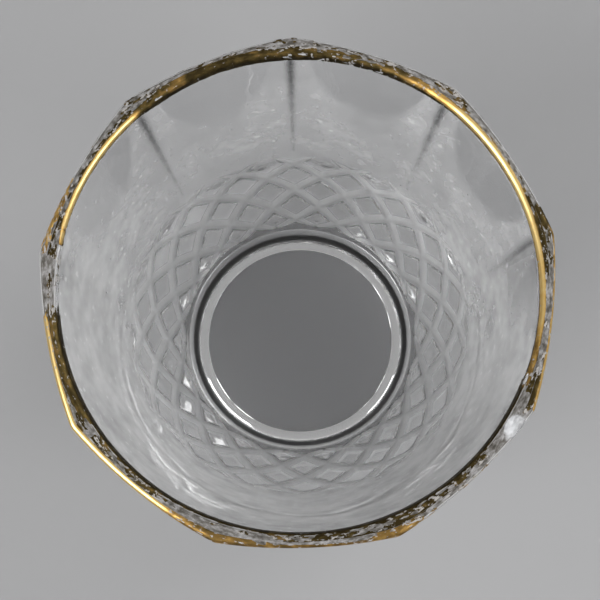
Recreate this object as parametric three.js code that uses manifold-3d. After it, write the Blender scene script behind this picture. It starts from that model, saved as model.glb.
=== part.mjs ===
import * as THREE from 'three';
import { mergeVertices } from 'three/addons/utils/BufferGeometryUtils.js';
import Module from 'manifold-3d';

// Double old fashioned glass: a pressed nine-sided tumbler with a band of cut-style diamonds round
// its lower wall, a heavy base on a narrow foot ring, and gilding along both edges of its lip.
// Millimetres, +Z up, the origin on the axis at the level that the foot ring rests on.

// Overall sizes
const height = 82;
const rimAcrossCorners = 94;
const panelCount = 9;
const panelBowRadius = 90;
const firstRidgeAngle = 90;

// Outer wall: the foot ring's bevel, the sloping lower wall, the knee and the upright upper wall
const heelRadius = 27.9;
const heelBevelHeight = 1.5;
const heelBevelWidth = 1.45;
const kneeHeight = 28.7;
const kneeRound = 7;
const upperDraft = 6.3;

// Inside of the bowl
const lipWidth = 2.5;
const floorThickness = 14;
const floorCornerRadius = 27;
const floorRound = 2.4;
const kneeWall = 5.1;
const innerDraft = 7.4;
const outerLipRound = 0.9;
const innerLipRound = 0.9;

// Underside: a recess inside the ring that the glass rests on
const footRingWidth = 1.95;
const recessDepth = 3.2;
const recessSlopeWidth = 2.8;

// Diamonds: left-hand and right-hand mitre grooves that cross on the lower wall
const groovesPerPanel = 2;
const grooveWidth = 3.4;
const grooveDepth = 1.1;
const rowPitch = 5.5;
const firstCrossing = 2.3;
const rowCount = 6;
const lowerRunOut = 2;
const upperRunOut = 6;

// Gilding: two fired lines, drawn as thick as a solid needs
const gildingThickness = 0.2;
const gildingGap = 0.1;
const bareCrownWidth = 0.4;
const outerGildingDrop = 1.6;
const innerGildingDrop = 1.6;

// Fineness of the round surfaces and of the grooves, and how far a cutter reaches past what it cuts
const bandFacetsPerPanel = 4;
const bowlFacetsPerPanel = 8;
const panelLatheSegments = 96;
const lipArcSteps = 6;
const bendSteps = 3;
const grooveStepsPerRow = 2;
const cutMargin = 5;
const weldDistance = 1e-5;

const wasm = await Module();
wasm.setup();

const radians = THREE.MathUtils.degToRad;
const panelAngle = 360 / panelCount;
const cornerRadius = rimAcrossCorners / 2;
const halfSide = cornerRadius * Math.sin(radians(panelAngle / 2));
const bowCentreSetBack = Math.sqrt(panelBowRadius ** 2 - halfSide ** 2)
  - cornerRadius * Math.cos(radians(panelAngle / 2));
const midPanelRadius = panelBowRadius - bowCentreSetBack;
const rimInnerRadius = midPanelRadius - lipWidth;
const upperSlope = Math.tan(radians(upperDraft));
const kneeRadius = cornerRadius - upperSlope * (height - kneeHeight);
const footOuterRadius = heelRadius - heelBevelWidth;
const footInnerRadius = footOuterRadius - footRingWidth;
const recessRadius = footInnerRadius - recessSlopeWidth;
const gildingReach = (lipWidth - bareCrownWidth) / 2;
const grooveCount = panelCount * groovesPerPanel;

// Solids and meshes

function toSolid(geometry) {
  const bare = geometry.index ? geometry.toNonIndexed() : geometry.clone();
  bare.deleteAttribute('normal');
  bare.deleteAttribute('uv');
  const merged = mergeVertices(bare, weldDistance);
  return new wasm.Manifold(new wasm.Mesh({
    numProp: 3,
    vertProperties: Float32Array.from(merged.attributes.position.array),
    triVerts: Uint32Array.from(merged.index.array),
  }));
}

function toMesh(solid, name, material) {
  const { vertProperties, triVerts } = solid.getMesh();
  const geometry = new THREE.BufferGeometry();
  geometry.setAttribute('position', new THREE.BufferAttribute(vertProperties, 3));
  geometry.setIndex(new THREE.BufferAttribute(triVerts, 1));
  geometry.computeVertexNormals();
  const mesh = new THREE.Mesh(geometry, material);
  mesh.name = name;
  return mesh;
}

// A solid of revolution about +Z from a profile of (radius, height) points
function revolve(points, segments) {
  return new THREE.LatheGeometry(points, segments).rotateX(Math.PI / 2);
}

// Lines up the seams between facets with the ridges
function turned(geometry) {
  return geometry.rotateZ(radians(firstRidgeAngle));
}

function arcPoints(centreX, centreZ, radius, fromAngle, toAngle) {
  const arc = new THREE.EllipseCurve(
    centreX, centreZ, radius, radius, radians(fromAngle), radians(toAngle), toAngle < fromAngle);
  return arc.getPoints(lipArcSteps);
}

// Cuts back a corner by the given length on both sides and bends a curve through it
function roundedCorner(before, corner, after, cut) {
  const start = corner.clone().lerp(before, cut / corner.distanceTo(before));
  const end = corner.clone().lerp(after, cut / corner.distanceTo(after));
  return new THREE.QuadraticBezierCurve(start, corner, end);
}

// Outer wall as a curve, from the top of the heel bevel to the rim's corner

const heelPoint = new THREE.Vector2(heelRadius, heelBevelHeight);
const kneePoint = new THREE.Vector2(kneeRadius, kneeHeight);
const rimPoint = new THREE.Vector2(cornerRadius, height);
const kneeBend = roundedCorner(heelPoint, kneePoint, rimPoint, kneeRound);
const outerWall = new THREE.CurvePath();
outerWall.add(new THREE.LineCurve(heelPoint, kneeBend.v0));
outerWall.add(kneeBend);
outerWall.add(new THREE.LineCurve(kneeBend.v2, rimPoint));
const outerWallLength = outerWall.getLength();

function onOuterWall(distance) {
  return outerWall.getPointAt(distance / outerWallLength);
}

const lastCrossing = firstCrossing + rowCount * rowPitch;

// The round body before its panels and grooves. Its facets meet where the grooves cross, and above
// the knee it widens past the panels, so that the ridges between them start at the knee.
function roundBody() {
  const profile = [
    new THREE.Vector2(0, 0),
    new THREE.Vector2(footOuterRadius, 0),
    heelPoint,
  ];
  for (let row = 0; row <= rowCount; row += 1) {
    profile.push(onOuterWall(firstCrossing + row * rowPitch));
  }
  const above = height + cutMargin;
  profile.push(new THREE.Vector2(cornerRadius + cutMargin, above));
  profile.push(new THREE.Vector2(0, above));
  return toSolid(turned(revolve(profile, panelCount * bandFacetsPerPanel)));
}

// Nine bowed sides: each is part of a wide cone whose axis lies beyond the far side of the glass.
// grow moves the sides and the top out, for the gilding that lies on them.
function panelledBody(grow, topRound, top) {
  const bottom = -cutMargin;
  const sideAt = (z) => panelBowRadius + grow - upperSlope * (height - z);
  const roundCentreZ = top - topRound;
  const arc = topRound > 0
    ? arcPoints(sideAt(roundCentreZ) - topRound, roundCentreZ, topRound, 0, 90)
    : [new THREE.Vector2(sideAt(top), top)];
  const profile = [
    new THREE.Vector2(0, bottom),
    new THREE.Vector2(sideAt(bottom), bottom),
    ...arc,
    new THREE.Vector2(0, top),
  ];
  const lathe = revolve(profile, panelLatheSegments).translate(-bowCentreSetBack, 0, 0);
  let body = null;
  for (let side = 0; side < panelCount; side += 1) {
    const middle = firstRidgeAngle + panelAngle * (side + 0.5);
    const panel = toSolid(lathe.clone().rotateZ(radians(middle)));
    body = body ? body.intersect(panel) : panel;
  }
  return body;
}

// The bowl's hollow, open at the top, with the lip's inner edge rounded over
function cavity() {
  const centre = new THREE.Vector2(rimInnerRadius + innerLipRound, height - innerLipRound);
  const edge = arcPoints(centre.x, centre.y, innerLipRound, 180 - innerDraft, 90);
  const floorCorner = new THREE.Vector2(floorCornerRadius, floorThickness);
  const knee = new THREE.Vector2(kneeRadius - kneeWall, kneeHeight);
  const floorCentre = new THREE.Vector2(0, floorThickness);
  const profile = [
    floorCentre,
    ...roundedCorner(floorCentre, floorCorner, knee, floorRound).getPoints(bendSteps),
    ...roundedCorner(floorCorner, knee, edge[0], kneeRound).getPoints(bendSteps),
    ...edge,
    new THREE.Vector2(centre.x, height + cutMargin),
    new THREE.Vector2(0, height + cutMargin),
  ];
  return toSolid(turned(revolve(profile, panelCount * bowlFacetsPerPanel)));
}

// The recess under the base, whose sloping edge meets the foot ring
function recess() {
  const slope = recessSlopeWidth / recessDepth;
  const profile = [
    new THREE.Vector2(0, -cutMargin),
    new THREE.Vector2(footInnerRadius + slope * cutMargin, -cutMargin),
    new THREE.Vector2(recessRadius, recessDepth),
    new THREE.Vector2(0, recessDepth),
  ];
  return toSolid(turned(revolve(profile, panelCount * bowlFacetsPerPanel)));
}

// Mitre grooves

function grooveDepthAt(distance) {
  const rise = THREE.MathUtils.clamp((distance - firstCrossing) / lowerRunOut, 0, 1);
  const fall = THREE.MathUtils.clamp((lastCrossing - distance) / upperRunOut, 0, 1);
  return grooveDepth * Math.min(rise, fall);
}

// A point of the round outer wall, with the directions out of it, up it and round it
function wallFrame(distance, angle) {
  const point = onOuterWall(distance);
  const slope = outerWall.getTangentAt(distance / outerWallLength);
  const away = new THREE.Vector3(Math.cos(angle), Math.sin(angle), 0);
  return {
    radius: point.x,
    position: away.clone().multiplyScalar(point.x).setZ(point.y),
    outward: away.clone().multiplyScalar(slope.y).setZ(-slope.x),
    upward: away.clone().multiplyScalar(slope.x).setZ(slope.y),
    around: new THREE.Vector3(-Math.sin(angle), Math.cos(angle), 0),
  };
}

// Joins triangular sections into one closed body
function loftTriangles(sections) {
  const positions = sections.flat().flatMap((corner) => corner.toArray());
  const last = 3 * (sections.length - 1);
  const index = [0, 1, 2, last, last + 2, last + 1];
  for (let start = 0; start < last; start += 3) {
    for (let side = 0; side < 3; side += 1) {
      const next = (side + 1) % 3;
      index.push(start + side, start + 3 + side, start + next);
      index.push(start + next, start + 3 + side, start + 3 + next);
    }
  }
  const geometry = new THREE.BufferGeometry();
  geometry.setAttribute('position', new THREE.Float32BufferAttribute(positions, 3));
  geometry.setIndex(index);
  return geometry;
}

// A V-shaped cutter along one groove, shallower towards both ends. It climbs the wall by half a
// diamond's height for each half of a diamond's width that it turns; hand is 1 or -1, its sense.
function grooveCutter(hand) {
  const turnPerRow = radians(180 / grooveCount);
  const startAngle = radians(firstRidgeAngle) - hand * turnPerRow * rowCount / 2;
  const sections = [];
  for (let step = 0; step <= rowCount * grooveStepsPerRow; step += 1) {
    const row = step / grooveStepsPerRow;
    const distance = firstCrossing + row * rowPitch;
    const wall = wallFrame(distance, startAngle + hand * turnPerRow * row);
    const along = wall.around.clone()
      .multiplyScalar(hand * wall.radius * turnPerRow / rowPitch)
      .add(wall.upward)
      .normalize();
    const sideways = along.cross(wall.outward);
    const depth = grooveDepthAt(distance);
    const clearance = grooveDepth;
    const halfWidth = (grooveWidth / 2) * (depth + clearance) / grooveDepth;
    const top = wall.position.clone().addScaledVector(wall.outward, clearance);
    sections.push([
      wall.position.clone().addScaledVector(wall.outward, -depth),
      top.clone().addScaledVector(sideways, halfWidth),
      top.clone().addScaledVector(sideways, -halfWidth),
    ]);
  }
  return loftTriangles(sections);
}

function cutGrooves(body) {
  let cut = body;
  for (const hand of [1, -1]) {
    const cutter = grooveCutter(hand);
    for (let groove = 0; groove < grooveCount; groove += 1) {
      const turn = radians(groove * 360 / grooveCount);
      cut = cut.subtract(toSolid(cutter.clone().rotateZ(turn)));
    }
  }
  return cut;
}

// Pieces

function glassBody() {
  const outside = roundBody().intersect(panelledBody(0, outerLipRound, height));
  return cutGrooves(outside).subtract(cavity()).subtract(recess());
}

// Outer gilding: on the sides' top edge, over the rounded edge and a little way across the crown
function outerGilding() {
  const outerFace = gildingGap + gildingThickness;
  const skin = panelledBody(outerFace, outerLipRound + outerFace, height + outerFace);
  const glass = panelledBody(gildingGap, outerLipRound + gildingGap, height + gildingGap);
  const crown = panelledBody(-gildingReach, 0, height + cutMargin);
  const reach = cornerRadius + cutMargin;
  const depth = outerGildingDrop + cutMargin;
  const aboveLine = toSolid(
    new THREE.CylinderGeometry(reach, reach, depth, panelCount * bowlFacetsPerPanel)
      .rotateX(Math.PI / 2).translate(0, 0, height - outerGildingDrop + depth / 2));
  return skin.intersect(aboveLine).subtract(glass).subtract(crown);
}

// Inner gilding: down the bowl's edge, over the rounded edge and a little way across the crown
function innerGilding() {
  const centre = new THREE.Vector2(rimInnerRadius + innerLipRound, height - innerLipRound);
  const crownEnd = rimInnerRadius + gildingReach;
  const near = innerLipRound + gildingGap;
  const far = near + gildingThickness;
  const downWall = new THREE.Vector2(
    -Math.sin(radians(innerDraft)), -Math.cos(radians(innerDraft))).multiplyScalar(innerGildingDrop);
  const nearArc = arcPoints(centre.x, centre.y, near, 180 - innerDraft, 90);
  const farArc = arcPoints(centre.x, centre.y, far, 90, 180 - innerDraft);
  const profile = [
    nearArc[0].clone().add(downWall),
    ...nearArc,
    new THREE.Vector2(crownEnd, height + gildingGap),
    new THREE.Vector2(crownEnd, height + gildingGap + gildingThickness),
    ...farArc,
    farArc.at(-1).clone().add(downWall),
    nearArc[0].clone().add(downWall),
  ];
  return toSolid(turned(revolve(profile, panelCount * bowlFacetsPerPanel)));
}

const glassMaterial = new THREE.MeshStandardMaterial(
  { color: 0xdfe5e4, roughness: 0.05, metalness: 0, transparent: true, opacity: 0.35 });
const gildingMaterial = new THREE.MeshStandardMaterial(
  { color: 0xc9a24a, roughness: 0.3, metalness: 1 });

const tumbler = new THREE.Group();
tumbler.add(toMesh(glassBody(), 'glass_body', glassMaterial));
tumbler.add(toMesh(outerGilding(), 'gilding_outer_line', gildingMaterial.clone()));
tumbler.add(toMesh(innerGilding(), 'gilding_inner_line', gildingMaterial.clone()));

export default tumbler;
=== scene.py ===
import math

import bpy
import numpy as np
from mathutils import Matrix, Vector


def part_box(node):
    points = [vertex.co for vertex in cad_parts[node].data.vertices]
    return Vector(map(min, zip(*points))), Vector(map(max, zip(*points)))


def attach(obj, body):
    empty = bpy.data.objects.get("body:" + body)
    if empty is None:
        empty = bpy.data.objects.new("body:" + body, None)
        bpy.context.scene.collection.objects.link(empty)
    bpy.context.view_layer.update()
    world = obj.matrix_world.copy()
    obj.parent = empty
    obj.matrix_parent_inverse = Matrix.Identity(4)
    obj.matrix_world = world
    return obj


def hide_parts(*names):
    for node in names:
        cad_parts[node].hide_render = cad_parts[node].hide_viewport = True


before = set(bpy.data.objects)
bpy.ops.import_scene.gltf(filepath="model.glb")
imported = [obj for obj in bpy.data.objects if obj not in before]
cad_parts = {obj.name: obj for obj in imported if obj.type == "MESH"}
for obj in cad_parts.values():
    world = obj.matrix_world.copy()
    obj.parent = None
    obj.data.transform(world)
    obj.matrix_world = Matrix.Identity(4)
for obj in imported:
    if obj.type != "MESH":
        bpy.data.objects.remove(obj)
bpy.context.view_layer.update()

# Double old fashioned glass: a pressed nine-sided tumbler with cut-style diamonds round its lower
# wall, a heavy base, and worn gilding on both edges of its lip. Lengths here are in millimetres and
# angles in radians; make_object turns the points into metres.

MM = 0.001

# Overall sizes, from the frame where it has them
body_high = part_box("glass_body")[1]
height = body_high.z / MM
rim_corner_radius = 47.0
panel_count = 9
panel_bow_radius = 90.0
first_ridge = math.radians(90)

# Outer wall
foot_outer_radius = 26.45
foot_ring_width = 1.95
recess_depth = 3.2
recess_slope_width = 2.8
heel_radius = 27.9
heel_height = 1.5
knee_height = 28.7
knee_round = 7.0
upper_draft = math.radians(6.3)
flare_over_draft = 0.085

# Inside of the bowl
lip_width = 2.5
lip_round = 0.9
lip_reaches = {"outer": 0.9, "inner": 1.3}
inner_draft = math.radians(7.4)
knee_wall = 5.1
floor_thickness = 14.0
floor_corner_radius = 27.0
floor_round = 2.4

# Mitre grooves that cross into diamonds; a groove turns ground between two shares of its depth
grooves_each_way = 2 * panel_count
groove_width = 3.4
groove_depth = 1.1
groove_bottom_round = 0.22
groove_edge_round = 0.12
row_pitch = 5.5
first_crossing = 2.3
row_count = 6
lower_run_out = 2.0
upper_run_out = 6.0
ground_shares = (0.1, 0.45)

# Gilding: a worn film on both rounded edges of the lip, with flakes left on the crown; line_blend is
# half the width over which an edge's line turns into the crown's flakes
gilding_thickness = 0.02
gilding_gap = 0.012
gilding_drops = {"outer": 1.6, "inner": 1.6}
bare_crown_width = 0.06
gilding_pitch = 0.2
gilding_columns = 1440
widest_half_crown = 1.3
line_blend = 0.15

# Wear of the film: streaky flakes and specks with their noise's size, seed and weight, and how far
# beyond the chip's edge it has gone
streak_length = 2.2
flake_size = 1.2
flake_seed = 41
flake_weight = 0.75
speck_size = 0.4
speck_seed = 57
speck_weight = 0.4
wear_span = 0.62
bare_round_chip = 0.3
smallest_flake = 14
cut_margin = 0.12

# The chip out of the lip's crown beside a corner: a shallow scoop of a ball, with fine ripples
chip_angle = math.radians(324.8)
chip_ball_radius = 3.4
chip_depth = 0.8
chip_lean = math.radians(8)
chip_off_inner_edge = 2.0
chip_ripple = 0.04
chip_ripple_turns = 4.0
chip_ripple_depth = 0.4
chip_mark_fade = (0.1, -0.05)

# Dust inside: thick on the upper wall and thin lower down. At the back it is thinned in an arch
# under the lip of each panel and along the ridges, as painted shade: there the clearer glass shows
# darker
dust_top_of_thin = 24.0
dust_foot_of_thick = 42.0
thin_dust = 0.12
near_side_dust = 1.5
arch_half_angle = math.radians(15)
arch_drop = 20.0
arch_softness = 3.0
arch_painted_shade = 0.85
ridge_haze_shade = 0.8
ridge_haze_shade_width = 2.2
ridge_haze_shade_foot_drop = 40.0
ridge_haze_shade_full_drop = 5.0

# Where the side away from the photograph's viewer begins
back_turn = math.radians(15)
back_fade = (-0.1, 0.4)

# Painted shade along a ridge, a dark line laid on the glass: its width, and what is left of its
# width and strength at the ridge's foot and of its strength on the near side; it fades in as the
# ridge comes out of the round wall
ridge_shade_width = 2.2
ridge_shade_foot_width = 0.35
ridge_shade_foot_strength = 0.6
ridge_shade_near_strength = 0.45
ridge_shade_fade = (-1.5, 0.5)

# Where round the lip's rounding the glass begins to be worn, and where it is worn grey
outer_wear_turns = (0.2, 0.8)
inner_wear_turns = (0.1, 0.6)

# Softness of the moulded edges
ridge_round = 0.2
panel_edge_round = 0.35
foot_round = 0.3

# Waves of moulded glass: height, length and seed of each; they fade in above the foot
waves = [(0.05, 16.0, 11), (0.02, 6.0, 23)]
wave_fade = (1.0, 6.0)

# Fineness of the mesh: a groove's bottom runs along the diagonals of the band's cells
columns_per_row_turn = 12
turn_per_row = math.pi / grooves_each_way
columns = 2 * grooves_each_way * columns_per_row_turn
upper_rows = 30
lip_rows = 9
crown_rows = 7
underside_spacing = 1.2
bowl_spacing = 1.8
wall_curve_spacing = 0.05
wall_slope_step = 0.1
fewest_bends = 4

# Columns crowd towards the ridges, over this rise above the flare's start and between these drops
# below the lip inside
ridge_crowding = 0.6
flare_crowding_rise = 14.0
bowl_crowding_drops = (16.0, 2.0)

# Marks that each point of the glass carries for its material, besides the chip's
mark_names = ("cut", "crown", "bowl", "ridge")

# Numbers that scramble a cell's place into a random-looking value
place_scramble = (374761393, 668265263, 2147483647)
seed_scramble = 1274126177
value_scrambles = (1103515245, 2246822519)

panel_angle = 2 * math.pi / panel_count
bow_centre_set_back = (
    math.sqrt(panel_bow_radius**2 - (rim_corner_radius * math.sin(panel_angle / 2)) ** 2)
    - rim_corner_radius * math.cos(panel_angle / 2)
)
rim_inner_radius = panel_bow_radius - bow_centre_set_back - lip_width
even_angles = first_ridge + np.arange(columns) * 2 * math.pi / columns
knee_radius = rim_corner_radius - math.tan(upper_draft) * (height - knee_height)


# Small helpers on arrays

def smooth_min(a, b, softness):
    """The lesser of a and b, rounded over where they are nearly equal."""
    overlap = np.maximum(softness - np.abs(a - b), 0) / softness
    return np.minimum(a, b) - overlap**2 * softness / 4


def smooth_max(a, b, softness):
    return -smooth_min(-a, -b, softness)


def smooth_step(low, high, x):
    t = np.clip((x - low) / (high - low), 0, 1)
    return t * t * (3 - 2 * t)


def fade_in(least, share):
    """From least to 1 as the share rises from 0 to 1."""
    return least + (1 - least) * share


def value_noise(points, seed):
    """Smooth noise from -1 to 1 at (n, 3) points, with features about one unit wide."""
    cell = np.floor(points).astype(np.int64)
    part = points - cell
    part = part * part * (3 - 2 * part)
    total = np.zeros(len(points))
    for corner in range(8):
        step = np.array([corner & 1, corner >> 1 & 1, corner >> 2 & 1])
        weight = np.prod(np.where(step == 1, part, 1 - part), axis=1)
        h = ((cell + step) @ np.array(place_scramble) + seed * seed_scramble) & 0xFFFFFFFF
        h = ((h ^ (h >> 13)) * value_scrambles[0]) & 0xFFFFFFFF
        h = ((h ^ (h >> 16)) * value_scrambles[1]) & 0xFFFFFFFF
        total += weight * ((h ^ (h >> 15)) & 0xFFFF) / 0xFFFF
    return 2 * total - 1


def layered_noise(points, size, seed, octaves=3):
    """Noise with features of the given size and finer ones on top, from about -1 to 1."""
    total = sum(
        value_noise(points * 2**k / size, seed + k) / 2**k for k in range(octaves)
    )
    return total / (2 - 2 ** (1 - octaves))


def round_the_rim(angle, stops):
    """A value that changes with the angle, by straight lines between (degrees, value) stops."""
    degrees = [stop[0] for stop in stops]
    values = [stop[1] for stop in stops]
    return np.interp(np.degrees(angle) % 360, degrees, values, period=360)


def from_mid_panel(angle):
    """How far an angle lies from the middle of its panel."""
    return np.abs((angle - first_ridge) % panel_angle - panel_angle / 2)


def at_back(angle):
    """1 round the side away from the photograph's viewer, and 0 on the near side."""
    return smooth_step(*back_fade, np.sin(angle + back_turn))


# Profiles, as (radius, height) points

def rounded_path(corners, cuts, spacing):
    """A path through the corners, each cut back by its length in cuts and bent round, with points
    no further apart than spacing on the straight stretches."""
    path = [np.array(corners[0], float)]
    for i in range(1, len(corners)):
        corner = np.array(corners[i], float)
        cut = cuts[i] if i < len(corners) - 1 else 0
        before = path[-1]
        toward = (corner - before) / np.linalg.norm(corner - before)
        start = corner - cut * toward
        parts = max(1, math.ceil(np.linalg.norm(start - before) / spacing))
        path += [before + (start - before) * k / parts for k in range(1, parts + 1)]
        if cut:
            after = np.array(corners[i + 1], float)
            end = corner + cut * (after - corner) / np.linalg.norm(after - corner)
            bends = max(fewest_bends, math.ceil(2 * cut / spacing))
            for t in np.linspace(0, 1, bends + 1)[1:]:
                path.append((1 - t) ** 2 * start + 2 * t * (1 - t) * corner + t * t * end)
    return np.array(path)


class Wall:
    """The round outer wall as a curve, by the distance along it from the top of the heel bevel."""

    corners = [(heel_radius, heel_height), (knee_radius, knee_height), (rim_corner_radius, height)]

    def __init__(self):
        self.points = rounded_path(self.corners, [0, knee_round, 0], wall_curve_spacing)
        steps = np.linalg.norm(np.diff(self.points, axis=0), axis=1)
        self.distances = np.r_[0, np.cumsum(steps)]

    def at(self, distance):
        return np.array([
            np.interp(distance, self.distances, self.points[:, 0]),
            np.interp(distance, self.distances, self.points[:, 1]),
        ])

    def outward(self, distance):
        ahead = self.at(distance + wall_slope_step)
        behind = self.at(max(distance - wall_slope_step, 0))
        along = (ahead - behind) / np.linalg.norm(ahead - behind)
        return np.array([along[1], -along[0]])


wall = Wall()
last_crossing = first_crossing + row_count * row_pitch
flare_start = wall.at(last_crossing)
flare_slope = math.tan(upper_draft) + flare_over_draft


# The outer surface

def panel_radius(angle, level):
    """Radius of the nine bowed sides at an angle and a height, with their ridges rounded over."""
    off = from_mid_panel(angle)
    reach = panel_bow_radius - math.tan(upper_draft) * (height - level)

    def one_side(turn):
        return np.sqrt(reach**2 - (bow_centre_set_back * np.sin(turn)) ** 2) - (
            bow_centre_set_back * np.cos(turn))

    return smooth_min(one_side(off), one_side(panel_angle - off), ridge_round)


def groove_at(angle, distance, hand):
    """Depth of the nearest groove of one hand, before its edges are rounded."""
    radius = wall.at(distance)[0]
    rows = (distance - first_crossing) / row_pitch
    centre = first_ridge + hand * turn_per_row * (rows - row_count / 2)
    spacing = 2 * math.pi / grooves_each_way
    off = np.abs((angle - centre + spacing / 2) % spacing - spacing / 2) * radius
    lean = math.atan(radius * turn_per_row / row_pitch)
    across = np.sqrt((off * math.cos(lean)) ** 2 + groove_bottom_round**2) - groove_bottom_round
    rise = np.clip((distance - first_crossing) / lower_run_out, 0, 1)
    fall = np.clip((last_crossing - distance) / upper_run_out, 0, 1)
    return groove_depth * min(rise, fall) - across * groove_depth / (groove_width / 2)


def groove_depth_at(angle, distance):
    if not first_crossing < distance < last_crossing:
        return np.zeros_like(angle)
    deepest = smooth_max(
        groove_at(angle, distance, 1), groove_at(angle, distance, -1), groove_bottom_round)
    return smooth_max(deepest, 0, groove_edge_round) - groove_edge_round / 4


def crowded(even, share):
    """Column angles drawn in towards the ridges, by share of ridge_crowding."""
    return even - share * ridge_crowding * np.sin(panel_count * (even - first_ridge)) / panel_count


def ring(angle, radius, level, **marks):
    """One ring of the glass: its points, and beside each the marks that its material reads."""
    like = np.zeros_like(angle)
    places = [radius * np.cos(angle), radius * np.sin(angle), level + like]
    return np.stack(places + [marks.get(name, 0.0) + like for name in mark_names], axis=1)


def underside_rings():
    foot_inner = foot_outer_radius - foot_ring_width
    corners = [
        (0, recess_depth),
        (foot_inner - recess_slope_width, recess_depth),
        (foot_inner, 0),
        (foot_outer_radius, 0),
        (heel_radius, heel_height),
        tuple(wall.at(first_crossing)),
    ]
    cuts = [0, 2 * foot_round, foot_round, foot_round, 1.5 * foot_round, 0]
    path = rounded_path(corners, cuts, underside_spacing)[1:]
    return [ring(even_angles, r, z) for r, z in path]


def band_rings():
    rings = []
    step = row_pitch / columns_per_row_turn
    for row in range(1, row_count * columns_per_row_turn + 1):
        distance = first_crossing + row * step
        (r, z), (out_r, out_z) = wall.at(distance), wall.outward(distance)
        cut = groove_depth_at(even_angles, distance)
        radius, level = r - cut * out_r, z - cut * out_z
        radius = smooth_min(radius, panel_radius(even_angles, level), panel_edge_round)
        ground = smooth_step(*ground_shares, cut / groove_depth)
        rings.append(ring(even_angles, radius, level, cut=ground))
    return rings


def upper_rings():
    rings = []
    top = height - lip_round * (1 + math.sin(upper_draft))
    levels = np.linspace(flare_start[1], top, upper_rows + 1)
    for level in levels[1:]:
        share = smooth_step(levels[0], levels[0] + flare_crowding_rise, level)
        angle = crowded(even_angles, share)
        flared = flare_start[0] + flare_slope * (level - flare_start[1])
        panel = panel_radius(angle, level)
        radius = smooth_min(np.full(columns, flared), panel, panel_edge_round)
        off_ridge = (panel_angle / 2 - from_mid_panel(angle)) * radius
        up = smooth_step(levels[0], height, level)
        # Painted shade along each ridge, wider and stronger towards the lip and at the back
        width = ridge_shade_width * fade_in(ridge_shade_foot_width, up)
        ridge_shade = fade_in(ridge_shade_foot_strength, up) * np.exp(-(2 * off_ridge / width) ** 2)
        ridge_shade = ridge_shade * fade_in(ridge_shade_near_strength, at_back(angle))
        ridge_shade = ridge_shade * smooth_step(*ridge_shade_fade, flared - panel)
        rings.append(ring(angle, radius, level, ridge=ridge_shade))
    return rings


# The lip: its section at each angle, shared by the glass and the gilding that lies on it

def lip_centres(angle):
    """Radii of the centres of the lip's outer and inner rounding, and their height."""
    level = height - lip_round
    outer = panel_radius(angle, level) - lip_reaches["outer"] / math.cos(upper_draft)
    inner = np.full_like(angle, rim_inner_radius + lip_reaches["inner"])
    return outer, inner, level


def lip_direction(side, turn):
    """Direction round the lip's rounding; turn runs from 0 at the wall to 1 at the crown."""
    draft = upper_draft if side == "outer" else inner_draft
    lean = math.atan(lip_round / lip_reaches[side] * math.tan(draft))
    start = -lean if side == "outer" else math.pi - lean
    return start + turn * (math.pi / 2 - start)


def lip_point(angle, side, stretch, share, lift=0.0):
    """Radius and height of a point of the lip on one of its three stretches, by its share of the
    way up the wall, round the edge or across the crown, lifted off the glass."""
    outer, inner, level = lip_centres(angle)
    centre = outer if side == "outer" else inner
    direction = lip_direction(side, {"wall": 0, "edge": share, "crown": 1}[stretch])
    radius = centre + (lip_reaches[side] + lift) * math.cos(direction)
    up = level + (lip_round + lift) * math.sin(direction)
    if stretch == "wall":
        down = gilding_drops[side] * (1 - share)
        draft = upper_draft if side == "outer" else inner_draft
        radius = radius - down * math.sin(draft)
        up = up - down * math.cos(draft)
    if stretch == "crown":
        half_bare = bare_crown_width / 2 * (1 if side == "outer" else -1)
        radius = radius + share * ((outer + inner) / 2 + half_bare - centre)
    return radius, up


def chip_centre():
    """Centre of the ball that scoops the chip, above the lip and leaning outwards."""
    reach = chip_ball_radius - chip_depth
    radius = rim_inner_radius + chip_off_inner_edge + reach * math.sin(chip_lean)
    level = height + reach * math.cos(chip_lean)
    return np.array([radius * math.cos(chip_angle), radius * math.sin(chip_angle), level])


def beyond_chip(points):
    """How far the points lie outside the chip's ball; less than nothing inside it."""
    return np.linalg.norm(points - chip_centre(), axis=1) - chip_ball_radius


def lip_rings():
    angle = crowded(even_angles, 1.0)
    rings = []
    for turn in np.linspace(0, 1, lip_rows + 1)[1:]:
        radius, level = lip_point(angle, "outer", "edge", turn)
        rings.append(ring(angle, radius, level, crown=smooth_step(*outer_wear_turns, turn)))
    outer, inner, level = lip_centres(angle)
    for share in np.linspace(0, 1, crown_rows + 1)[1:-1]:
        across = outer + (inner - outer) * share
        rings.append(ring(angle, across, level + lip_round, crown=1.0))
    for turn in np.linspace(1, 0, lip_rows + 1):
        radius, level = lip_point(angle, "inner", "edge", turn)
        worn = smooth_step(*inner_wear_turns, turn)
        rings.append(ring(angle, radius, level, crown=worn, bowl=1 - worn))
    return rings


def dust_at(angle, radius, level):
    """How dusty the inside is: 1 where it is thick at the back, and more on the near side; at the
    back it is thinned as painted shade in an arch under each panel's lip and along the ridges.
    """
    dust = fade_in(thin_dust, smooth_step(dust_top_of_thin, dust_foot_of_thick, level))
    across = np.minimum(from_mid_panel(angle) / arch_half_angle, 1)
    inside_arch = arch_drop * np.sqrt(1 - across**2) - (height - level)
    arch = smooth_step(-arch_softness, arch_softness, inside_arch)
    off_ridge = (panel_angle / 2 - from_mid_panel(angle)) * radius
    ridge = np.exp(-(2 * off_ridge / ridge_haze_shade_width) ** 2)
    ridge = ridge * smooth_step(
        height - ridge_haze_shade_foot_drop, height - ridge_haze_shade_full_drop, level)
    # Painted shade at the back: the arch and the ridges get less dust
    haze_shade = np.maximum(arch_painted_shade * arch, ridge_haze_shade * ridge)
    back = at_back(angle)
    return dust * (near_side_dust * (1 - back) + (1 - haze_shade) * back)


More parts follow.
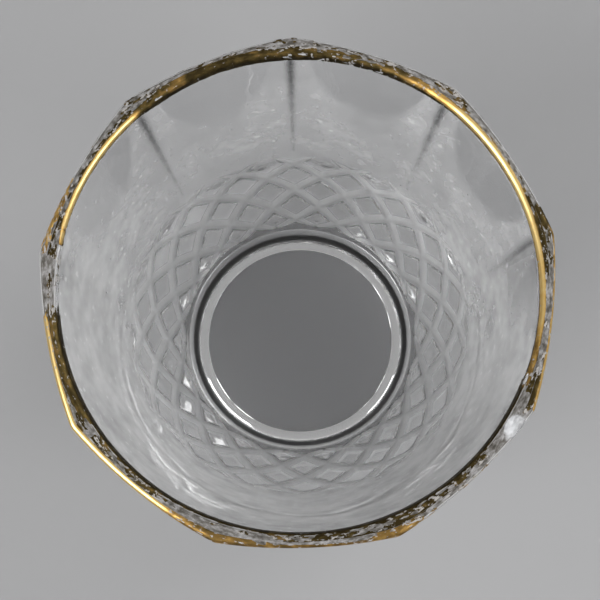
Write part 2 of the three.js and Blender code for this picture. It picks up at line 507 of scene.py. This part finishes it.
def bowl_rings():
    start = lip_direction("inner", 0)
    edge_r = rim_inner_radius + lip_reaches["inner"] * (1 + math.cos(start))
    edge_z = height - lip_round * (1 - math.sin(start))
    corners = [
        (edge_r, edge_z),
        (knee_radius - knee_wall, knee_height),
        (floor_corner_radius, floor_thickness),
        (0, floor_thickness),
    ]
    path = rounded_path(corners, [0, knee_round, floor_round, 0], bowl_spacing)[1:-1]
    low, high = (height - drop for drop in bowl_crowding_drops)
    rings = []
    for r, z in path:
        share = smooth_step(low, high, z)
        angle = crowded(even_angles, share)
        rings.append(ring(angle, r, z, bowl=dust_at(angle, r, z)))
    return rings


def soften_whole(points):
    """Moulded glass is never quite true: small waves over the whole surface."""
    radial = points.copy()
    radial[:, 2] = 0
    radial = radial / np.maximum(np.linalg.norm(radial, axis=1, keepdims=True), 1)
    swell = sum(rise * layered_noise(points, length, seed, 2) for rise, length, seed in waves)
    return points + radial * (swell * smooth_step(*wave_fade, points[:, 2]))[:, None]


def scoop_chip(points):
    """Points of the lip pushed out of the chip's ball, with the ripples of broken glass."""
    away = points - chip_centre()
    depth = np.maximum(-beyond_chip(points), 0)
    ripple = chip_ripple * np.sin(away[:, 0] * chip_ripple_turns + away[:, 1])
    ripple = ripple * smooth_step(0, chip_ripple_depth, depth)
    distance = np.linalg.norm(away, axis=1)
    return points + away / distance[:, None] * (depth + ripple)[:, None]


# Meshes

def band_triangles(first_ring):
    """Triangles of the diamond band, each cell split along the nearer family of grooves."""
    step = row_pitch / columns_per_row_turn
    faces = []
    here = np.arange(columns)
    ahead = (here + 1) % columns
    mid_angle = even_angles + math.pi / columns
    for row in range(row_count * columns_per_row_turn):
        distance = first_crossing + (row + 0.5) * step
        forward = groove_at(mid_angle, distance, 1) > groove_at(mid_angle, distance, -1)
        low = (first_ring + row) * columns
        high = low + columns
        a, b, c, d = low + here, low + ahead, high + ahead, high + here
        first = np.where(forward[:, None], np.stack([a, b, c], 1), np.stack([a, b, d], 1))
        second = np.where(forward[:, None], np.stack([a, c, d], 1), np.stack([b, c, d], 1))
        faces += [first, second]
    return np.concatenate(faces)


def ring_quads(first_ring, last_ring, around=columns):
    """Quads between rings that have the given number of points around."""
    here = np.arange(around)
    ahead = (here + 1) % around
    faces = []
    for row in range(first_ring, last_ring):
        low, high = row * around, (row + 1) * around
        faces.append(np.stack([low + here, low + ahead, high + ahead, high + here], 1))
    return np.concatenate(faces)


def make_object(name, points, face_sets, material, marks=None):
    """A smooth-shaded mesh object from points in millimetres and arrays of faces, with named
    marks at its points for the material."""
    mesh = bpy.data.meshes.new(name)
    mesh.vertices.add(len(points))
    mesh.vertices.foreach_set("co", (points * MM).astype(np.float32).ravel())
    corner_lists = [faces.ravel() for faces in face_sets]
    sizes = np.concatenate([np.full(len(faces), faces.shape[1]) for faces in face_sets])
    mesh.loops.add(int(sizes.sum()))
    mesh.loops.foreach_set("vertex_index", np.concatenate(corner_lists).astype(np.int32))
    mesh.polygons.add(len(sizes))
    mesh.polygons.foreach_set("loop_start", np.r_[0, np.cumsum(sizes)[:-1]].astype(np.int32))
    mesh.polygons.foreach_set("use_smooth", np.ones(len(sizes), bool))
    mesh.update(calc_edges=True)
    for mark, values in (marks or {}).items():
        layer = mesh.attributes.new(mark, "FLOAT", "POINT")
        layer.data.foreach_set("value", values.astype(np.float32))
    mesh.materials.append(material)
    made = bpy.data.objects.new(name, mesh)
    bpy.context.scene.collection.objects.link(made)
    return made


def make_glass(material):
    under = underside_rings()
    band = band_rings()
    above = upper_rings() + lip_rings() + bowl_rings()
    rings = under + band + above
    table = np.concatenate(rings)
    points = scoop_chip(soften_whole(table[:, :3]))
    count = len(rings)
    band_start = len(under) - 1
    band_end = band_start + len(band)
    recess_centre = len(points)
    floor_centre = recess_centre + 1
    points = np.concatenate([points, [[0, 0, recess_depth], [0, 0, floor_thickness]]])
    marks = np.concatenate([table[:, 3:], [[0, 0, 0, 0], [0, 0, thin_dust, 0]]])
    here = np.arange(columns)
    ahead = (here + 1) % columns
    top = (count - 1) * columns
    faces = [
        np.stack([np.full(columns, recess_centre), ahead, here], 1),
        np.stack([np.full(columns, floor_centre), top + here, top + ahead], 1),
        band_triangles(band_start),
        ring_quads(0, band_start),
        ring_quads(band_end, count - 1),
    ]
    named = {name: marks[:, k] for k, name in enumerate(mark_names)}
    named["chip"] = np.append(smooth_step(*chip_mark_fade, beyond_chip(table[:, :3])), [0, 0])
    return make_object("pressed_glass", points, faces, material, named)


# Worn gilding: a fine grid over the edge of the lip, kept where the film has held

# The film round the rim by stops of: degrees; how much is left of the line along the edge, how dull
# it is and how wide it is; how much is left on that half of the crown, and how dull. The dullness is
# partly tarnish and partly painted shade, dark where light does not fall on that stretch of the edge
film_stops = {
    "inner": [
        (0, 1.0, 0.15, 0.9, 0.15, 1.0),
        (3, 1.05, 0.1, 0.9, 0.7, 1.0),
        (19, 1.1, 0.0, 0.95, 0.75, 1.0),
        (22, 1.1, 0.0, 1.0, 0.45, 0.8),
        (45, 1.1, 0.0, 1.05, 0.4, 0.8),
        (48, 0.85, 0.35, 1.1, 0.3, 0.8),
        (58, 0.8, 0.55, 1.3, 0.3, 0.8),
        (64, 0.75, 0.8, 1.3, 0.4, 0.9),
        (86, 0.78, 0.85, 1.3, 0.4, 0.9),
        (92, 0.9, 0.9, 1.4, 0.5, 1.0),
        (115, 1.0, 0.95, 1.5, 0.6, 1.0),
        (117, 1.0, 0.62, 1.5, 0.6, 1.0),
        (120, 1.0, 0.62, 1.5, 0.6, 1.0),
        (122, 0.95, 0.9, 1.4, 0.5, 1.0),
        (129, 0.9, 0.85, 1.2, 0.5, 0.9),
        (133, 1.05, 0.1, 0.8, 0.55, 1.0),
        (160, 1.1, 0.05, 0.8, 0.5, 1.0),
        (163, 1.1, 0.05, 0.75, 0.5, 1.0),
        (164, 0.55, 0.6, 0.7, 0.5, 1.0),
        (165, 1.1, 0.05, 0.6, 0.5, 1.0),
        (167, 1.1, 0.05, 0.45, 0.5, 1.0),
        (168, 0.2, 0.9, 0.4, 0.45, 1.0),
        (183, 0.25, 0.9, 1.2, 0.4, 0.9),
        (187, 0.85, 0.8, 1.4, 0.6, 0.9),
        (208, 0.9, 0.9, 1.4, 0.6, 1.0),
        (213, 0.5, 0.9, 1.2, 0.6, 1.0),
        (236, 0.55, 0.9, 1.2, 0.5, 1.0),
        (241, 0.25, 0.9, 1.0, 0.15, 0.9),
        (260, 0.25, 0.9, 1.0, 0.2, 0.9),
        (266, 0.5, 0.9, 1.2, 0.5, 1.0),
        (275, 0.6, 0.95, 1.3, 0.8, 1.0),
        (293, 0.6, 0.95, 1.3, 0.8, 1.0),
        (300, 0.5, 0.9, 1.2, 0.45, 1.0),
        (316, 0.5, 0.9, 1.2, 0.4, 1.0),
        (319, 0.0, 0.9, 1.0, 0.0, 1.0),
        (331, 0.0, 0.9, 1.0, 0.0, 1.0),
        (334, 0.5, 0.8, 1.0, 0.9, 1.0),
        (337, 0.85, 0.6, 0.85, 0.6, 1.0),
        (345, 0.95, 0.45, 0.8, 0.25, 1.0),
        (352, 1.0, 0.2, 0.85, 0.15, 1.0),
    ],
    "outer": [
        (0, 0.9, 0.3, 0.4, 0.1, 1.0),
        (4, 0.9, 0.35, 0.4, 0.5, 1.0),
        (11, 0.85, 0.45, 0.4, 0.5, 1.0),
        (13, 0.9, 0.95, 0.6, 0.9, 1.0),
        (16, 0.8, 0.95, 0.6, 0.85, 1.0),
        (18, 0.3, 0.9, 0.5, 0.35, 0.9),
        (60, 0.25, 0.9, 0.5, 0.3, 0.9),
        (90, 0.3, 0.9, 0.5, 0.4, 0.95),
        (130, 0.3, 0.85, 0.5, 0.4, 0.9),
        (147, 0.25, 0.8, 0.5, 0.25, 0.8),
        (150, 0.6, 0.35, 0.5, 0.25, 0.8),
        (160, 0.6, 0.4, 0.6, 0.6, 0.5),
        (170, 0.3, 0.4, 0.6, 0.5, 0.5),
        (173, 0.05, 0.5, 0.5, 0.05, 0.8),
        (183, 0.05, 0.4, 0.5, 0.1, 0.8),
        (186, 0.95, 0.0, 0.9, 0.5, 0.9),
        (199, 1.0, 0.0, 1.0, 0.55, 0.95),
        (204, 1.1, 0.0, 1.1, 0.5, 0.95),
        (232, 1.1, 0.0, 1.1, 0.4, 0.95),
        (238, 0.85, 0.4, 1.2, 0.5, 0.8),
        (243, 0.8, 0.68, 2.0, 0.75, 0.75),
        (258, 0.8, 0.65, 2.0, 0.75, 0.75),
        (263, 0.8, 0.6, 0.6, 0.15, 0.9),
        (283, 0.8, 0.6, 0.45, 0.1, 0.9),
        (286, 0.8, 0.62, 1.0, 0.75, 0.68),
        (292, 0.8, 0.6, 1.0, 0.65, 0.68),
        (295, 0.6, 0.5, 0.5, 0.3, 0.8),
        (303, 0.35, 0.6, 0.4, 0.2, 0.9),
        (328, 0.1, 0.6, 0.4, 0.15, 0.9),
        (331, 0.95, 0.2, 0.5, 0.8, 1.0),
        (336, 0.95, 0.2, 0.5, 0.85, 1.0),
        (339, 0.95, 0.2, 0.5, 0.35, 1.0),
        (352, 0.9, 0.3, 0.45, 0.1, 1.0),
    ],
}

# How far down the bowl's wall the film has held, in millimetres by degrees
film_reach_stops = [
    (3, 0.25), (22, 0.25), (30, 0.5), (48, 0.7), (64, 1.2), (125, 1.2), (131, 0.4), (166, 0.2),
    (170, 1.6), (333, 1.6), (337, 0.6), (352, 0.35),
]

# Painted shade: a thin dark line of dull film at the foot of the inner edge, by degrees and how much
# is there
dark_foot_stops = [(180, 0.0), (187, 1.0), (333, 1.0), (338, 0.0)]
dark_foot_width = 0.28
dark_foot_fade = (0.7, 1.3)
dark_foot_hold = 1.1

# Fray of the film's lower edge above and below its reach, and how much duller it is down the wall
foot_fray = (0.1, 0.2)
wall_dullness = 0.6
wall_dull_drop = 0.3


def film_stations(side):
    """Stations across the film, from the wall over the rounded edge to the crown's middle."""
    def shares(length):
        return np.linspace(0, 1, math.ceil(length / gilding_pitch) + 1)

    arc = lip_reaches[side] * math.pi / 2
    stations = [("wall", t) for t in shares(gilding_drops[side])[:-1]]
    stations += [("edge", t) for t in shares(arc)[:-1]]
    return stations + [("crown", t) for t in shares(widest_half_crown)]


def film_state(angle, side, stretch, share):
    """How much of the film is left at a station, and how dull it is, from tarnish and from painted
    shade.
    """
    line, line_dull, width, crown, crown_dull = (
        round_the_rim(angle, [(stop[0], stop[k]) for stop in film_stops[side]])
        for k in range(1, 6)
    )
    edge, _ = lip_point(angle, side, "edge", 0)
    here, _ = lip_point(angle, side, stretch, share)
    across = np.abs(here - edge) if stretch != "wall" else np.zeros_like(angle)
    blend = smooth_step(width - line_blend, width + line_blend, across)
    left, dull = line + (crown - line) * blend, line_dull + (crown_dull - line_dull) * blend
    if side == "inner" and stretch == "wall":
        down = gilding_drops[side] * (1 - share)
        reach = round_the_rim(angle, film_reach_stops)
        left = left * (1 - smooth_step(reach - foot_fray[0], reach + foot_fray[1], down))
        dull = np.minimum(dull + wall_dullness * smooth_step(0.0, wall_dull_drop, down), 1)
    # Painted shade: the thin dark line at the foot of the inner edge
    if side == "inner":
        foot = round_the_rim(angle, dark_foot_stops)
        low, high = (times * dark_foot_width for times in dark_foot_fade)
        foot = foot * (1 - smooth_step(low, high, across))
        left, dull = np.maximum(left, dark_foot_hold * foot), np.maximum(dull, foot)
    return left, dull


def film_grid(side):
    """The film's grid: outer points, inner points, how much is left and its tarnish with painted
    shade, row by row.
    """
    angle = np.arange(gilding_columns) * 2 * math.pi / gilding_columns
    rows = []
    for stretch, share in film_stations(side):
        layers = []
        for lift in (gilding_gap + gilding_thickness, gilding_gap):
            radius, level = lip_point(angle, side, stretch, share, lift)
            layers += [radius * np.cos(angle), radius * np.sin(angle), level + 0 * angle]
        left, dull = film_state(angle, side, stretch, share)
        rows.append(np.stack(layers + [left, dull], axis=1))
    return rows


def film_holds(points, left, side):
    """Above nothing where the film has held: worn in streaks along the lip, and gone in the chip."""
    radius = np.hypot(points[:, 0], points[:, 1])
    across = points[:, 2] + (radius if side == "inner" else -radius)
    round_lip = points[:, :2] / radius[:, None] * rim_inner_radius / streak_length
    streaky = np.column_stack([round_lip, across])
    flakes = layered_noise(streaky, flake_size, flake_seed)
    specks = value_noise(streaky / speck_size, speck_seed)
    worn = flake_weight * flakes + speck_weight * specks
    held = (2 * left - 1) * wear_span - worn
    return np.minimum(held, beyond_chip(points) / bare_round_chip)


def clip(triangles, field, table):
    """The triangles cut along the field's zero, and the table with rows for the new points."""
    def odd_first(chosen, value):
        turn = np.argmax((field[chosen] > 0) == value, axis=1)
        return chosen[np.arange(len(chosen))[:, None], (turn[:, None] + [0, 1, 2]) % 3]

    above = (field[triangles] > 0).sum(axis=1)
    whole = triangles[above == 3]
    tips = odd_first(triangles[above == 1], True)
    stumps = odd_first(triangles[above == 2], False)
    edges = np.concatenate([tips[:, [0, 1]], tips[:, [0, 2]], stumps[:, [0, 1]], stumps[:, [0, 2]]])
    pairs, new = np.unique(np.sort(edges, axis=1), axis=0, return_inverse=True)
    low, high = field[pairs[:, 0]], field[pairs[:, 1]]
    share = np.clip(low / (low - high), cut_margin, 1 - cut_margin)[:, None]
    added = table[pairs[:, 0]] * (1 - share) + table[pairs[:, 1]] * share
    new = new.reshape(-1) + len(table)
    a, b = len(tips), len(stumps)
    tip_b, tip_c = new[:a], new[a:2 * a]
    stump_b, stump_c = new[2 * a:2 * a + b], new[2 * a + b:]
    faces = np.concatenate([
        whole,
        np.stack([tips[:, 0], tip_b, tip_c], 1),
        np.stack([stump_b, stumps[:, 1], stumps[:, 2]], 1),
        np.stack([stump_b, stumps[:, 2], stump_c], 1),
    ])
    return faces, np.concatenate([table, added])


def drop_crumbs(faces, count):
    """The faces without islands of fewer than smallest_flake faces."""
    label = np.arange(count)
    edges = np.concatenate([faces[:, [0, 1]], faces[:, [1, 2]]])
    while True:
        least = np.minimum(label[edges[:, 0]], label[edges[:, 1]])
        fresh = label.copy()
        np.minimum.at(fresh, edges[:, 0], least)
        np.minimum.at(fresh, edges[:, 1], least)
        fresh = fresh[fresh]
        if np.array_equal(fresh, label):
            break
        label = fresh
    island = label[faces[:, 0]]
    sizes = np.bincount(island, minlength=count)
    return faces[sizes[island] >= smallest_flake]


def thicken(faces, count):
    """Faces of a closed film: the outer skin, the inner skin and the walls along the edges."""
    edges = np.concatenate([faces[:, [0, 1]], faces[:, [1, 2]], faces[:, [2, 0]]])
    code = edges[:, 0] * count + edges[:, 1]
    back = edges[:, 1] * count + edges[:, 0]
    rim = edges[~np.isin(code, back)]
    walls = np.stack([rim[:, 1], rim[:, 0], rim[:, 0] + count, rim[:, 1] + count], 1)
    return [np.concatenate([faces, faces[:, ::-1] + count]), walls]


def make_film(name, side, material):
    rows = film_grid(side)
    table = np.concatenate(rows)
    quads = ring_quads(0, len(rows) - 1, gilding_columns)
    if side == "inner":
        quads = quads[:, ::-1]
    triangles = np.concatenate([quads[:, [0, 1, 2]], quads[:, [0, 2, 3]]])
    field = film_holds(table[:, :3], table[:, 6], side)
    faces, table = clip(triangles, field, table)
    faces = drop_crumbs(faces, len(table))
    used, renamed = np.unique(faces, return_inverse=True)
    faces, table = renamed.reshape(faces.shape), table[used]
    points = soften_whole(np.concatenate([table[:, :3], table[:, 3:6]]))
    marks = {"wear": 1 - np.tile(table[:, 6], 2), "tarnish_and_shade": np.tile(table[:, 7], 2)}
    return make_object(name, points, thicken(faces, len(table)), material, marks)


# Materials

class Nodes:
    """A new node material, with short calls for the nodes that the materials share."""

    def __init__(self, name):
        self.material = bpy.data.materials.new(name)
        self.material.use_nodes = True
        self.nodes = self.material.node_tree.nodes
        self.links = self.material.node_tree.links
        self.shader = self.nodes["Principled BSDF"]
        self.place = self.nodes.new("ShaderNodeTexCoord").outputs["Object"]

    def feed(self, socket, value):
        if isinstance(value, (int, float, tuple)):
            socket.default_value = value
        else:
            self.links.new(value, socket)

    def drive(self, name, value):
        """Sets an input of the shader to a number or to what another node gives."""
        self.feed(self.shader.inputs[name], value)

    def maths(self, kind, *values, clamp=False):
        node = self.nodes.new("ShaderNodeMath")
        node.operation = kind
        node.use_clamp = clamp
        for socket, value in zip(node.inputs, values):
            self.feed(socket, value)
        return node.outputs[0]

    def times(self, *values, clamp=False):
        return self.maths("MULTIPLY", *values, clamp=clamp)

    def rest_of(self, value):
        return self.maths("SUBTRACT", 1.0, value)

    def mark(self, name):
        node = self.nodes.new("ShaderNodeAttribute")
        node.attribute_name = name
        return node.outputs["Fac"]

    def noise(self, size, detail, roughness=0.5):
        """Noise from 0 to 1 with features of the given size in millimetres."""
        node = self.nodes.new("ShaderNodeTexNoise")
        node.inputs["Scale"].default_value = 1 / (size * MM)
        node.inputs["Detail"].default_value = detail
        node.inputs["Roughness"].default_value = roughness
        self.links.new(self.place, node.inputs["Vector"])
        return node.outputs["Fac"]

    def vector(self, kind, *values):
        node = self.nodes.new("ShaderNodeVectorMath")
        node.operation = kind
        for socket, value in zip(node.inputs, values):
            self.feed(socket, value)
        return node.outputs["Value" if kind == "LENGTH" else "Vector"]

    def along_lip(self):
        """Makes the noise that follows streaky along the lip: its place round the lip counts for
        less than its place across."""
        flat = self.vector("MULTIPLY", self.place, (1.0, 1.0, 0.0))
        reach = rim_inner_radius * MM / streak_length
        round_lip = self.vector("MULTIPLY", self.vector("NORMALIZE", flat), (reach, reach, 0.0))
        across = self.nodes.new("ShaderNodeCombineXYZ")
        self.links.new(self.vector("LENGTH", flat), across.inputs["Z"])
        self.place = self.vector("ADD", round_lip, across.outputs["Vector"])

    def ramp(self, value, stops):
        node = self.nodes.new("ShaderNodeValToRGB")
        elements = node.color_ramp.elements
        while len(elements) > 1:
            elements.remove(elements[-1])
        elements[0].position, elements[0].color = stops[0][0], (*stops[0][1], 1)
        for position, colour in stops[1:]:
            elements.new(position).color = (*colour, 1)
        self.links.new(value, node.inputs["Fac"])
        return node.outputs["Color"]

    def mix(self, share, first, second):
        """The first colour, turning into the second as the share rises to 1."""
        node = self.nodes.new("ShaderNodeMix")
        node.data_type = "RGBA"
        self.feed(node.inputs["Factor"], share)
        for socket, colour in zip((node.inputs[6], node.inputs[7]), (first, second)):
            self.feed(socket, (*colour, 1) if isinstance(colour, tuple) else colour)
        return node.outputs[2]

    def spread(self, value, low, high, to_low, to_high):
        """The value from low to high mapped smoothly to to_low to to_high."""
        node = self.nodes.new("ShaderNodeMapRange")
        node.interpolation_type = "SMOOTHSTEP"
        for name, number in zip(
                ("From Min", "From Max", "To Min", "To Max"), (low, high, to_low, to_high)):
            node.inputs[name].default_value = number
        self.links.new(value, node.inputs["Value"])
        return node.outputs["Result"]

    def patches(self, size, detail, low, high, to_low, to_high):
        return self.spread(self.noise(size, detail), low, high, to_low, to_high)

    def ripple(self, size, detail, depth, strength):
        """A normal that waves as noise does, with waves of the given size and depth."""
        height = self.noise(size, detail)
        node = self.nodes.new("ShaderNodeBump")
        node.inputs["Distance"].default_value = depth * MM
        node.inputs["Strength"].default_value = strength
        self.links.new(height, node.inputs["Height"])
        return node.outputs["Normal"]


# Glass: clear, dusty inside, ground in the grooves, darkened along the ridges by painted shade and
# worn on the crown
glass_ior = 1.5
water_clear = (0.968, 0.97, 0.973)
dust_depth = 0.13
least_head_on = 0.06
groove_ground = 0.95
groove_rough = 0.4
crown_ground = 0.8
crown_rough = 0.45
crown_worn_from = 0.5
crown_worn_to = 0.95
# Painted shade along the ridges: the share of light it takes and its dark colour
ridge_shade_strength = 0.65
ridge_shade_colour = (0.05, 0.05, 0.05)
glass_ripple = (2.6, 2.0, 0.1, 0.03)

# Patches by their noise's size and detail, its span that counts and what that span turns into
wide_clouds = (10.0, 2.0, 0.3, 0.7, 0.65, 1.35)
small_clouds = (3.2, 2.0, 0.3, 0.7, 0.82, 1.2)
dust_grains = (1.6, 1.0, 0.66, 0.78, 0.0, 0.8)
# Breaks in the painted shade along the ridges
broken_ridge_shade = (2.2, 2.0, 0.35, 0.6, 0.6, 1.0)

# Uneven colours by their noise's size, detail and roughness, and their stops
crown_noise = (0.6, 3.0, 0.6)
crown_colours = [
    (0.34, (0.05, 0.043, 0.034)),
    (0.44, (0.12, 0.11, 0.095)),
    (0.54, (0.22, 0.21, 0.2)),
    (0.68, (0.42, 0.41, 0.41)),
]
# The chip's pale shell of broken glass, partly a painted highlight
chip_noise = (0.7, 2.0)
chip_colours = [(0.35, (0.42, 0.42, 0.43)), (0.65, (0.78, 0.79, 0.81))]


def glass_clearness(n):
    """The share of light that goes through: dust takes most of it at a glancing view."""
    weight = n.nodes.new("ShaderNodeLayerWeight")
    weight.inputs["Blend"].default_value = 0.5
    head_on = n.maths("MAXIMUM", n.rest_of(weight.outputs["Facing"]), least_head_on)
    clouds = n.times(n.patches(*wide_clouds), n.patches(*small_clouds))
    uneven = n.maths("ADD", clouds, n.patches(*dust_grains))
    dust = n.times(n.times(n.mark("bowl"), dust_depth), uneven)
    clear = n.maths("EXPONENT", n.times(n.maths("DIVIDE", dust, head_on), -1.0))
    clear = n.times(clear, n.rest_of(n.times(n.mark("cut"), groove_ground)))
    # Painted shade: along the ridges the glass lets less light through
    ridge_shade = n.times(n.times(n.mark("ridge"), ridge_shade_strength), n.patches(*broken_ridge_shade))
    clear = n.times(clear, n.rest_of(ridge_shade))
    return n.times(clear, n.rest_of(n.times(n.mark("crown"), crown_ground)), clamp=True)


def glass_material():
    """Clear pressed glass, with a worn grey crown and a pale shell in the chip that is partly a
    painted highlight.
    """
    n = Nodes("clear_pressed_glass")
    n.drive("IOR", glass_ior)
    n.drive("Transmission Weight", glass_clearness(n))
    n.drive("Normal", n.ripple(*glass_ripple))
    n.along_lip()
    worn = n.ramp(n.noise(*crown_noise), crown_colours)
    how_worn = n.spread(n.mark("crown"), crown_worn_from, crown_worn_to, 0.0, 1.0)
    colour = n.mix(how_worn, water_clear, worn)
    # The chip's pale shell, partly a painted highlight
    colour = n.mix(n.mark("chip"), colour, n.ramp(n.noise(*chip_noise), chip_colours))
    # Painted shade: the colour turns dark along the ridges
    n.drive("Base Color", n.mix(n.mark("ridge"), colour, ridge_shade_colour))
    rough = n.maths(
        "ADD", n.times(n.mark("cut"), groove_rough), n.times(n.mark("crown"), crown_rough))
    n.drive("Roughness", n.times(rough, n.rest_of(n.mark("chip"))))
    return n.material


# Gilding: its noises by size, detail and roughness, its colours from bright to dark brown, for
# tarnish and painted shade alike, and its roughness over that span of darkening
tarnish_noise = (0.8, 4.0)
tarnish_span = 0.9
gold_colours = [
    (0.0, (0.95, 0.7, 0.29)),
    (0.35, (0.8, 0.5, 0.15)),
    (0.6, (0.3, 0.18, 0.055)),
    (0.85, (0.1, 0.072, 0.026)),
    (1.0, (0.05, 0.036, 0.014)),
]
gold_rough = (0.1, 0.9, 0.28, 0.5)
bare_noise = (0.45, 3.0, 0.6)
bare_by_wear = 0.25
bare_span = (0.64, 0.72, 0.0, 1.0)
bare_colour = (0.42, 0.4, 0.38)
gilding_ripple = (0.7, 3.0, 0.02, 0.6)


def gilding_material():
    """Fired gold, bright where it has held, brown and dull where its mark holds tarnish and painted
    shade, and specked with bare grey where it is nearly through."""
    n = Nodes("worn_gilding")
    n.along_lip()
    uneven = n.times(n.maths("SUBTRACT", n.noise(*tarnish_noise), 0.5), tarnish_span)
    # The dullness mark holds tarnish and painted shade: darker where light does not fall on the edge
    dull = n.maths("ADD", n.mark("tarnish_and_shade"), uneven, clamp=True)
    gold = n.ramp(dull, gold_colours)
    thin = n.maths("ADD", n.noise(*bare_noise), n.times(n.mark("wear"), bare_by_wear))
    bare = n.spread(thin, *bare_span)
    n.drive("Base Color", n.mix(bare, gold, bare_colour))
    n.drive("Metallic", n.rest_of(bare))
    n.drive("Roughness", n.spread(dull, *gold_rough))
    n.drive("Normal", n.ripple(*gilding_ripple))
    return n.material


floor_noise = (300.0, 2.0)
floor_colours = [(0.3, (0.37, 0.37, 0.375)), (0.7, (0.39, 0.39, 0.395))]
floor_rough = 0.9
floor_shine = 0.1
floor_half_side = 1500.0


def floor_material():
    n = Nodes("pale_floor")
    n.drive("Base Color", n.ramp(n.noise(*floor_noise), floor_colours))
    n.drive("Roughness", floor_rough)
    n.drive("Specular IOR Level", floor_shine)
    return n.material


# Stage, lights and camera

def add_floor():
    half = floor_half_side
    corners = np.array([[-half, -half, 0], [half, -half, 0], [half, half, 0], [-half, half, 0]])
    floor = make_object("floor", corners, [np.array([[0, 1, 2, 3]])], floor_material())


def add_softbox(name, azimuth, elevation, distance, size, power):
    """A square area lamp aimed at the glass; azimuth runs from +X towards +Y."""
    lamp = bpy.data.lights.new(name, "AREA")
    lamp.shape = "SQUARE"
    lamp.size = size
    lamp.energy = power
    made = bpy.data.objects.new(name, lamp)
    turn, rise = math.radians(azimuth), math.radians(elevation)
    away = Vector((math.cos(turn) * math.cos(rise), math.sin(turn) * math.cos(rise), math.sin(rise)))
    target = Vector((0, 0, height * MM / 2))
    made.location = target + away * distance
    made.rotation_euler = (-away).to_track_quat("-Z", "Y").to_euler()
    bpy.context.scene.collection.objects.link(made)


# Light of the tent round the scene, and the heights between which its sides turn into its roof
tent_side_light = 0.32
tent_roof_light = 0.5
tent_side_top = math.radians(20)
tent_roof_edge = math.radians(45)

# Softboxes: name, azimuth and elevation in degrees, distance and size in metres, power in watts
softboxes = [
    ("key", 214, 38, 0.9, 0.6, 5),
    ("fill", 32, 40, 0.9, 0.5, 2.5),
    ("side", -30, 38, 0.9, 0.4, 2),
]


def set_world():
    """Plain light like a studio tent's: even round the sides and a little brighter overhead."""
    world = bpy.data.worlds.new("studio")
    bpy.context.scene.world = world
    world.use_nodes = True
    nodes, links = world.node_tree.nodes, world.node_tree.links
    place = nodes.new("ShaderNodeTexCoord")
    split = nodes.new("ShaderNodeSeparateXYZ")
    links.new(place.outputs["Generated"], split.inputs["Vector"])
    fade = nodes.new("ShaderNodeMapRange")
    fade.interpolation_type = "SMOOTHSTEP"
    fade.inputs["From Min"].default_value = math.sin(tent_side_top)
    fade.inputs["From Max"].default_value = math.sin(tent_roof_edge)
    fade.inputs["To Min"].default_value = tent_side_light
    fade.inputs["To Max"].default_value = tent_roof_light
    links.new(split.outputs["Z"], fade.inputs["Value"])
    background = nodes["Background"]
    background.inputs["Color"].default_value = (1.0, 1.0, 1.0, 1)
    links.new(fade.outputs["Result"], background.inputs["Strength"])


# The photograph looks down into the bowl: elevation of the view, distance in rim radii, pixels in a
# rim radius, how far the rim's centre lies from the middle of the picture in rim radii, and the roll
view_elevation = math.radians(81.0)
view_distance = 4.5
view_scale = 264.6
picture_side = 600
rim_above_middle = 0.0495
rim_left_of_middle = 0.006
picture_roll = math.radians(2.0)
sensor_width = 36.0
nearest_seen = 10.0


def add_camera():
    lens = bpy.data.cameras.new("photo_view")
    lens.sensor_width = sensor_width
    lens.lens = view_scale * view_distance / picture_side * sensor_width
    lens.clip_start = nearest_seen * MM
    camera = bpy.data.objects.new("photo_view", lens)
    radius = rim_corner_radius * MM
    back = Vector((0, -math.cos(view_elevation), math.sin(view_elevation)))
    up = Vector((0, math.sin(view_elevation), math.cos(view_elevation)))
    right = Vector((1, 0, 0))
    look = Vector((0, 0, height * MM)) - up * rim_above_middle * radius + right * (
        rim_left_of_middle * radius)
    rolled_up = up * math.cos(picture_roll) + right * math.sin(picture_roll)
    rolled_right = right * math.cos(picture_roll) - up * math.sin(picture_roll)
    axes = Matrix((rolled_right, rolled_up, back)).transposed()
    camera.matrix_world = Matrix.Translation(look + back * view_distance * radius) @ axes.to_4x4()
    bpy.context.scene.collection.objects.link(camera)
    bpy.context.scene.camera = camera


glass = make_glass(glass_material())
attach(glass, "root")
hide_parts("glass_body")

gilding = gilding_material()
for side in ("outer", "inner"):
    film = make_film(f"{side}_gilding_film", side, gilding)
    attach(film, "root")
    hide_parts(f"gilding_{side}_line")

add_floor()
set_world()
for softbox in softboxes:
    add_softbox(*softbox)
add_camera()
bpy.context.scene.view_settings.view_transform = "Standard"

# Light that has passed through many facets of the glass still counts
cycles = bpy.context.scene.cycles
cycles.max_bounces = 32
cycles.diffuse_bounces = 10
cycles.glossy_bounces = 16
cycles.transmission_bounces = 32
